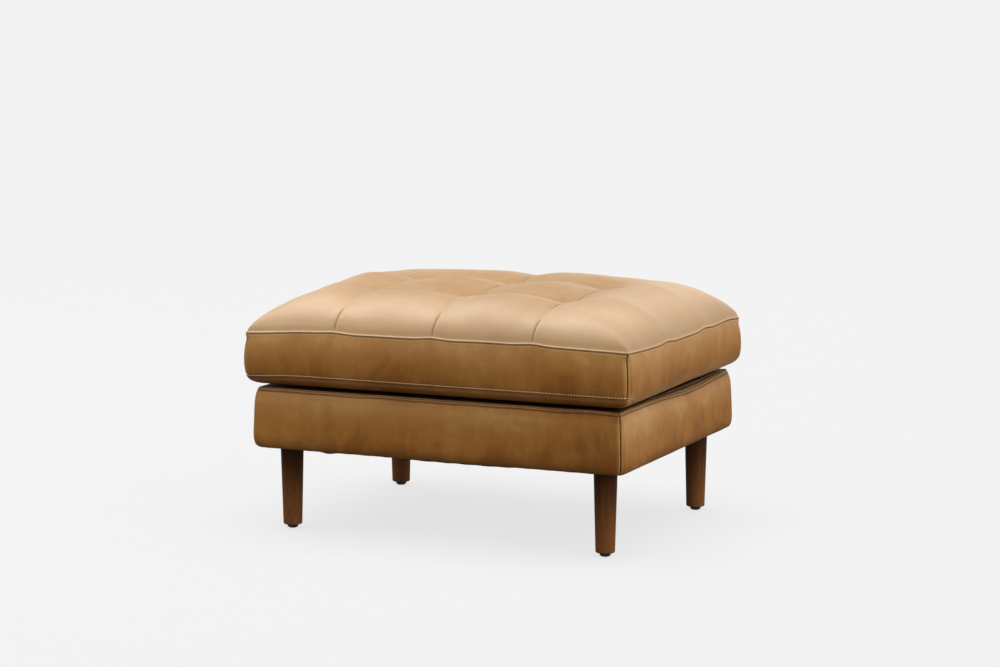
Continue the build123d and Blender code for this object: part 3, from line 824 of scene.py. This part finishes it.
# Ridges and bands, as on the base: rubbing, painted sheen and painted shade in the grooves.
boxing_corner_tuck = (5.5, 0, 7.0)
boxing_corner_ridges = ((0.8, 2.8, 1.6), (-1.6, 0, 0.9))
boxing_top_ridges = ((0.5, 4.6, 2.2), (-2.2, 0, 1.6))
boxing_low_ridges = ((0.5, 1.2, 1.6), (-0.4, 4.4, 1.2))
boxing_corner_rub, boxing_top_rub = (0.45, 2.8, 1.4), (0.5, 5.4, 1.3)
boxing_low_rub, boxing_low_edge_sheen = (0.12, 1.0, 1.2), (0.4, 0, 12)
boxing_corner_shade, boxing_top_shade, boxing_low_shade = (0.9, 0, 0.9), (0.38, 0, 1.4), (0.4, 0, 0.5)
boxing_sheen = 0.26


def top_seam_height(side, run):
    """Height of the cushion's top seam: it is lifted along the front and at the end of each pleat."""
    share = min(1.0, abs(run) / by_side(side, *cushion_half))
    kinks = sum(ridge(run - place, by_side(side, *seam_kinks), 0, seam_kink_width)
                for place in by_side(side, tuft_columns, tuft_rows))
    if side == "front":
        kinks -= front_seam_dip * past(run, -290, -180) * (1 - 0.6 * past(run, 20, 120))
    lift = by_side(side, *seam_lifts) * (1 - share ** 2.5) + kinks * (1 - share ** 6)
    corner = side_names.index(side) + (run > 0)
    drop, reach = seam_corner_drops[corner % len(seam_corner_drops)]
    return top_seam_base - 0.5 * mm + lift - drop * mm * smooth(share, 1 - reach, 1.0)


def boxing_ends(side, share):
    """Heights of a band's lower and upper edge."""
    run = wall_run(side, share, cushion_plan)[0]
    return lower_seam_height(side, share) - 0.8 * mm, top_seam_height(side, run) - 1.6 * mm


def boxing_point(side, share, z):
    """A point on one band's face, and how far it lies from the band's corner, top and lower seams."""
    run, gap = wall_run(side, share, cushion_plan)
    low_z, top_z = boxing_ends(side, share)
    near_top = top_z - z
    near_low = z - low_z
    number = side_names.index(side)
    open_wall = past(gap, 2, 30)
    middle = past(near_top, 0, 30) * past(near_low, 0, 30)
    offset = wall_offset(z - cushion_floor, top_z - cushion_floor)
    billow = ripple((run, z * 0.4, 0), boxing_billow_size, 21.0 + number) * middle
    pucker = ripple((run, z * 0.25, 0), boxing_pucker_size, 31.0 + number) * past(near_top, 0, 12)
    offset += (boxing_billow * billow + boxing_pucker * pucker) * open_wall
    offset -= relief(gap, [boxing_corner_tuck]) * past(near_top, 0, 20)
    offset += relief(gap, boxing_corner_ridges) + relief(near_top, boxing_top_ridges)
    offset += relief(near_low, boxing_low_ridges)
    point, normal = wall_point(side, share, cushion_plan, offset, z)
    return tucked(point), normal, gap, near_top, near_low


def boxing_spot(side):
    """Where each point of one band lies, from its lower seam (0) to the top seam (1)."""
    def spot(share, height):
        share = crowded(share, boxing_crowding)
        low_z, top_z = boxing_ends(side, share)
        z = low_z + (top_z - low_z) * (0.5 + 0.5 * crowded(2 * height - 1, boxing_row_crowding))
        point, normal, gap, near_top, near_low = boxing_point(side, share, z)
        # Painted sheen near the top and along the lower edge of the ends and rear; painted shade in the
        # seams; painted light rising up the band.
        painted_sheen = boxing_sheen * smooth(height, 0.35, 0.95)
        if side == "front":
            painted_sheen *= 1 - 0.9 * smooth(share, 0.3, 0.8)
        else:
            painted_sheen = max(painted_sheen, ridge(near_low, *boxing_low_edge_sheen))
        rub_and_sheen = max(ridge(gap, *boxing_corner_rub), ridge(near_top, *boxing_top_rub),
                  ridge(near_low, *boxing_low_rub), painted_sheen)
        crease_shade = max(ridge(gap, *boxing_corner_shade), ridge(near_top, *boxing_top_shade),
                     ridge(near_low, *boxing_low_shade))
        return point, rub_and_sheen, crease_shade, painted_light_range * (1.7 * height - 0.85)
    return spot


for side in side_names:
    skin = panel(by_side(side, *boxing_grid), boxing_rows, boxing_spot(side))
    piece = shown(skin, side + "_boxing_leather", "cushion", cushion_leather,
                  (backed, smoothed))
    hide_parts(side + "_cushion_boxing")


# Cushion top: one panel of leather with its fibre, pleated between the tufts and pulled down at them.
# The tufts have no buttons: their ties end in the folds. Its edge is turned over as a raised lip.
crown_rise = 80 * mm
edge_run = 140 * mm
edge_power = 0.68
corner_fullness = 2.05
top_corner_radius = 5.5 * mm
tuft_pitch = 205 * mm
puff_reach = 102.5 * mm
puff_columns = (-300, -102, 102, 300)
puff_rows = (-205, 0, 205)
puff_lifts = ((1.5, -6.0, -1.0, -5.0), (10.0, 1.0, 1.0, 2.0), (-1.5, -5.5, -1.5, 0.5))
puff_width = 75
valley_power = 1.8
pleat_depth = 14 * mm
cross_pleat_depth = 14 * mm
tuft_depth = 5.5 * mm
tuft_reach = 60 * mm
pleat_wander = 2.0 * mm
crown_billow, crown_billow_size = 1.3 * mm, 75
crown_ripple, crown_ripple_size = 0.35 * mm, 22
fold_depth, fold_width = 2.4 * mm, 3.0 * mm
cross_fold_depth, cross_fold_width = 1.6 * mm, 5.0 * mm
fold_shoulder = (0.7, 6, 3.5)
ray_count = 9
ray_height, ray_reach = 1.1 * mm, 26 * mm
pucker_height, pucker_reach = 0.8 * mm, 16 * mm
# Painted shade in the folds, rubbing beside them, and painted sheen on the shoulders, more at the right end.
fold_shade, cross_fold_shade, fold_rub = (0.85, 0, 1.2), (0.25, 0, 1.5), (0.25, 4.5, 2.5)
shoulder_sheen = (0.37, 46, 62)
right_end_sheen = 0.35
top_grid = (158, 121)
top_crowding = 0.7
fibre_top_grid = (16, 12)
fibre_top_setback = Vector((-3 * mm, -3 * mm, 1 * mm))
tucked_in = 0.93
lip_profile = (  # how far out and how far up each row of the turned edge lies, in millimetres, and its rub
    (1.2, 0.1, 0.3), (2.3, -0.6, 0.5), (2.8, -1.6, 0.6), (2.3, -2.7, 0.45), (1.2, -3.3, 0.1),
    (-1.5, -3.4, 0.0))

top_deep = (0.282, 0.124, 0.0190, 1)
top_mid = (0.365, 0.180, 0.0330, 1)
top_light = (0.440, 0.242, 0.0540, 1)
# The pale of rubbing, also the colour of the painted sheen.
top_rubbed_and_sheen = (0.70, 0.490, 0.300, 1)
top_leather = leather("top_leather", (top_deep, top_mid, top_light, top_rubbed_and_sheen), 0.0, 1.1, 0.7)
top_shader = top_leather.node_tree.nodes["Principled BSDF"]
top_shader.inputs["Coat Weight"].default_value = 0.1
top_shader.inputs["Coat Roughness"].default_value = 0.5


def edge_share(inside):
    """How much of the crown's height is reached at a distance in from the seam."""
    short = max(0.0, 1 - max(0.0, inside) / edge_run)
    return (1 - short * short) ** edge_power


def rim_height(x, y):
    """Height of the top seam nearest to a point, blended towards the corners."""
    to_side = cushion_half[0] - abs(x) + 1 * mm
    to_front = cushion_half[1] - abs(y) + 1 * mm
    front = top_seam_height("front" if y < 0 else "rear", x if y < 0 else -x)
    side = top_seam_height("right" if x > 0 else "left", y if x > 0 else -y)
    return (front / to_front + side / to_side) / (1 / to_front + 1 / to_side)


def nearest(value, places):
    """The signed distance from a value to the nearest of some places."""
    return min((value - place for place in places), key=abs)


def faded(distance, reach):
    """1 on a line, falling to 0 at a reach with the slope of stuffed leather."""
    return max(0.0, 1 - abs(distance) / reach) ** valley_power


def pleat_sharpness(x, y, to_front):
    """How sharply the leather folds along a front-to-back pleat: most at the seam and between the tufts."""
    at_seam = past(to_front, 0, 3) * (1 - past(to_front, 26, 52))
    front_tufts = ridge(y, 1, -165, 40) * past(x, 0, 150)
    rightwards = past(x, -150, 150)
    middle_tufts = ridge(y, 1, 50 - 40 * rightwards, 50 + 40 * rightwards)
    rear_tufts = ridge(y, 1, 180, 50) * (1 - past(x, 60, 150)) * past(to_front, 40, 90)
    rear_tufts *= 0.35 + 0.65 * past(x, -150, -50)
    return max(at_seam, front_tufts, middle_tufts, rear_tufts)


def cross_pleat_sharpness(x, y, to_side):
    """The same for a pleat from side to side: most near the tufts and beyond the rear right one."""
    at_tufts = max(ridge(x - place, 1, 0, 34) for place in tuft_columns)
    beyond = 0.9 * past(x, 190, 210) * (1 - past(x, 265, 330)) * past(y, 40, 80)
    at_seam = 0.3 * past(to_side, 0, 3) * (1 - past(to_side, 20, 45))
    return max(at_tufts, beyond, at_seam)


def valleys(x, y, to_front, to_side, from_column, from_row, shallow):
    """How deep the wide valleys of the pleats and tufts are. They fade towards the seams and at the left."""
    fade_front = past(to_front, 2, 75)
    if y > 0:
        fade_front = max(past(to_front, 30, 190), ridge(x, 1, 0, 70) * past(to_front, 10, 110))
    fade_start = 150 if x > 0 > y else 70 if x < 0 < y else 110
    fade_side = past(to_side, fade_start, 220) * shallow
    hidden_tuft = 0.6 * past(x, 110, 190) * past(y, 20, 80)
    tuft = faded(math.hypot(from_column, from_row), tuft_reach) * shallow * (1 - hidden_tuft)
    return (pleat_depth * faded(from_column, puff_reach) * fade_front
            + cross_pleat_depth * faded(from_row, puff_reach) * fade_side + tuft_depth * tuft)


def crown_spot(x, y):
    """Height of the cushion's top at a place, its rubbing and painted sheen, and its painted shade in the
    folds.
    """
    to_side = cushion_half[0] - abs(x)
    to_front = cushion_half[1] - abs(y)
    near = (max(to_side, smallest_radius) ** -corner_fullness
            + max(to_front, smallest_radius) ** -corner_fullness) ** (-1 / corner_fullness)
    near_edge = past(min(to_front, to_side), 0, 40)
    edge = edge_share(near - smallest_radius)
    column_wander = pleat_wander * ripple((y, 0, 0), 60, 2.0) * past(to_front, 0, 30)
    row_wander = pleat_wander * ripple((x, 0, 0), 60, 4.0) * past(to_side, 0, 30)
    from_column, from_row = nearest(x + column_wander, tuft_columns), nearest(y + row_wander, tuft_rows)
    from_tuft = math.hypot(from_column, from_row)
    shallow = 1 - 0.75 * (1 - past(x, -230, -110)) * (1 - past(y, -120, 20))
    height = crown_rise * edge - valleys(x, y, to_front, to_side, from_column, from_row, shallow)
    for row_place, lifts in zip(puff_rows, puff_lifts):
        for column_place, lift in zip(puff_columns, lifts):
            puff = ridge(x, lift, column_place, puff_width) * ridge(y, 1, row_place, puff_width)
            height += mm * edge * puff
    sharp = pleat_sharpness(x, y, to_front)
    cross_sharp = cross_pleat_sharpness(x, y, to_side) * shallow
    height -= max(fold_depth * math.exp(-abs(from_column) / fold_width) * sharp,
                  cross_fold_depth * math.exp(-abs(from_row) / cross_fold_width) * cross_sharp)
    height += relief(from_column, [fold_shoulder]) * sharp
    rays = math.sin(ray_count * math.atan2(from_row, from_column) + 3 * ripple((x, y, 0), 50))
    rays *= past(from_tuft, 3, 14) * math.exp(-from_tuft / ray_reach)
    pucker = ripple((x * 0.4, y, 0), 15, 8.0) * math.exp(-abs(from_column) / pucker_reach)
    pucker += ripple((x, y * 0.4, 0), 15, 9.0) * math.exp(-abs(from_row) / pucker_reach)
    waves = crown_billow * ripple((x, y, 0), crown_billow_size, 12.0)
    waves += crown_ripple * ripple((x, y, 0), crown_ripple_size, 14.0)
    height += (ray_height * rays + pucker_height * pucker + waves) * near_edge
    # Painted shade along the folds, and painted sheen on the shoulders, stronger towards the right end.
    crease_shade = max(ridge(from_column, *fold_shade) * sharp, ridge(from_row, *cross_fold_shade) * cross_sharp)
    painted_sheen = ridge(near, *shoulder_sheen) * (1 + right_end_sheen * past(x, 150, 300))
    rub_and_sheen = ridge(from_column, *fold_rub) * sharp * near_edge
    return rim_height(x, y) + height, max(painted_sheen, rub_and_sheen), crease_shade


def crowded_lines(place, amount, outer_line, half):
    """Moves evenly spread places closer together at the pleats, and ends them at the seam."""
    turn = 2 * math.pi / tuft_pitch
    end = half + amount * math.sin(turn * half) / turn
    place += amount * math.sin(turn * place) / turn
    if abs(place) <= outer_line:
        return place
    beyond = (abs(place) - outer_line) * (half - outer_line) / (end - outer_line)
    return math.copysign(outer_line + beyond, place)


def rounded_corner(x, y, radius):
    """Draws the corners of a rectangle of points in to a radius."""
    over_x = abs(x) - (cushion_half[0] - radius)
    over_y = abs(y) - (cushion_half[1] - radius)
    if over_x <= 0 or over_y <= 0:
        return x, y
    share_x = min(1.0, over_x / radius)
    share_y = min(1.0, over_y / radius)
    x -= math.copysign(over_x * (1 - math.sqrt(1 - share_y ** 2 / 2)), x)
    y -= math.copysign(over_y * (1 - math.sqrt(1 - share_x ** 2 / 2)), y)
    return x, y


def plan_normal(x, y, radius):
    """The outward direction in plan from the rounded edge of the cushion."""
    inner = Vector((max(radius - cushion_half[0], min(cushion_half[0] - radius, x)),
                    max(radius - cushion_half[1], min(cushion_half[1] - radius, y)), 0))
    return (Vector((x, y, 0)) - inner).normalized()


def open_edges(items):
    """The edges among some geometry that bound only one face."""
    return [item for item in items if isinstance(item, bmesh.types.BMEdge) and item.is_boundary]


top = bmesh.new()
bmesh.ops.create_grid(top, x_segments=top_grid[0], y_segments=top_grid[1], size=1)
rub_and_sheen = top.verts.layers.float.new("rub_and_sheen")
crease_shade = top.verts.layers.float.new("crease_shade")
for vert in top.verts:
    x = crowded_lines(vert.co.x * cushion_half[0], -top_crowding, tuft_columns[-1], cushion_half[0])
    y = crowded_lines(vert.co.y * cushion_half[1], top_crowding, tuft_rows[-1], cushion_half[1])
    z, vert[rub_and_sheen], vert[crease_shade] = crown_spot(x, y)
    vert.co = (*rounded_corner(x, y, top_corner_radius), z)

border = open_edges(top.edges)
starts = {vert: (vert.co.copy(), plan_normal(vert.co.x, vert.co.y, top_corner_radius))
          for edge in border for vert in edge.verts}
for out, up, rubbed in lip_profile:
    border = open_edges(bmesh.ops.extrude_edge_only(top, edges=border)["geom"])
    moved = {}
    for vert in dict.fromkeys(vert for edge in border for vert in edge.verts):
        before = min((other for edge in vert.link_edges for other in edge.verts if other in starts),
                     key=lambda other: (other.co - vert.co).length)
        moved[vert] = starts[before]
    for vert, (start, normal) in moved.items():
        vert.co = start + normal * out * mm + Vector((0, 0, up * mm))
        vert[rub_and_sheen] = rubbed
        vert[crease_shade] = 0.0
    starts = moved
under_the_fibre = bmesh.ops.extrude_edge_only(top, edges=border)["geom"]
inner = [item for item in under_the_fibre if isinstance(item, bmesh.types.BMVert)]
bmesh.ops.scale(top, vec=(tucked_in, tucked_in, 1), verts=inner)
border = open_edges(under_the_fibre)
core_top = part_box("cushion_core")[1] + fibre_top_setback
on_core = bmesh.ops.create_grid(top, x_segments=fibre_top_grid[0], y_segments=fibre_top_grid[1],
                                size=1)["verts"]
for vert in on_core:
    vert.co = (vert.co.x * core_top.x, vert.co.y * core_top.y, core_top.z)
border += open_edges(edge for vert in on_core for edge in vert.link_edges)
bmesh.ops.bridge_loops(top, edges=list(dict.fromkeys(border)))
bmesh.ops.recalc_face_normals(top, faces=top.faces)
piece = shown(top, "cushion_top", "cushion", top_leather, (smoothed,))
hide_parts("cushion_top_panel", "cushion_wrap")


# Thread: stout polyester thread, cream on the front's lower edge and on the deck's border, and dark brown
# under the top lip and up the corner seams. Each stitch is one rounded grain of the same small mesh.
route_steps = 900
cream, cream_tip = (0.74, 0.58, 0.36, 1), (0.93, 0.80, 0.58, 1)
brown, brown_tip = (0.040, 0.016, 0.006, 1), (0.085, 0.036, 0.014, 1)
hem_stitch = (2.2, 2.5, 6.2)  # thickness, length and pitch, in millimetres, as in the next three
lip_stitch = (1.9, 2.6, 6.2)
deck_stitch = (1.0, 2.0, 5.2)
corner_stitch = (0.9, 2.2, 4.2)
deck_stitch_reach = 0.965
deck_stitch_inset = 6.5 * mm
deck_stitch_lift = 0.3 * mm
corner_stitch_end = 4 * mm


def thread(name, shade, tip):
    """Two-ply thread, with its twist as bands of two shades."""
    made, shader, place = new_material(name, 0.3)
    twist = stripes(place, 900, "DIAGONAL", 0.5)
    finish(shader, colour_mix(twist, shade, tip), 0.6, bump(twist, 0.1 * mm, 0.5))
    return made


cream_thread = thread("cream_thread", cream, cream_tip)
brown_thread = thread("brown_thread", brown, brown_tip)

one = bmesh.new()
bmesh.ops.create_uvsphere(one, u_segments=6, v_segments=4, radius=0.5)
stitch = mesh_from("one_stitch", one)


def sewn(name, body, material, size, routes):
    """Lays stitches at an even pitch along routes, each a function from -1 to 1 that gives a point."""
    thickness, length, pitch = (measure * mm for measure in size)
    bm = bmesh.new()
    for route in routes:
        points = [route(2 * step / route_steps - 1) for step in range(route_steps + 1)]
        due = pitch / 2
        for start, end in zip(points, points[1:]):
            step_length = (end - start).length
            if step_length > due:
                along = (end - start).normalized()
                turned = along.to_track_quat("Z", "Y").to_matrix().to_4x4()
                spot = Matrix.Translation(start + along * due) @ turned
                spot @= Matrix.Diagonal((thickness, thickness, length, 1))
                stitch.transform(spot)
                bm.from_mesh(stitch)
                stitch.transform(spot.inverted())
                due += pitch
            due -= step_length
    return shown(bm, name, body, material)


def edge_route(side, edge, up, out):
    """A line on the boxing, at millimetres up from its lower (0) or top (1) edge and out from its face."""
    def route(share):
        point, normal = boxing_point(side, share, boxing_ends(side, share)[edge] + up * mm)[:2]
        return point + normal * out * mm
    return route


def deck_route(side):
    """A line on the deck's border, a little in from its seam."""
    def route(share):
        point = border_point(side, share * deck_stitch_reach, deck_stitch_inset)
        return point + Vector((0, 0, deck_stitch_lift))
    return route


def corner_route(side):
    """A line up the cushion's corner seam at the end of one side."""
    def route(share):
        low_z, top_z = boxing_ends(side, 1.0)[0], top_seam_base - corner_stitch_end
        return boxing_point(side, 1.0, low_z + (top_z - low_z) * (share + 1) / 2)[0]
    return route


sewn("front_hem_stitches", "cushion", cream_thread, hem_stitch,
     [edge_route("front", 0, 3.0, 0.5)])
sewn("lip_stitches", "cushion", brown_thread, lip_stitch,
     [edge_route(side, 1, -2.8, 0.1) for side in side_names])
sewn("deck_stitches", "base", cream_thread, deck_stitch,
     [deck_route(side) for side in side_names])
sewn("corner_stitches", "cushion", brown_thread, corner_stitch,
     [corner_route(side) for side in side_names])
bpy.data.meshes.remove(stitch)
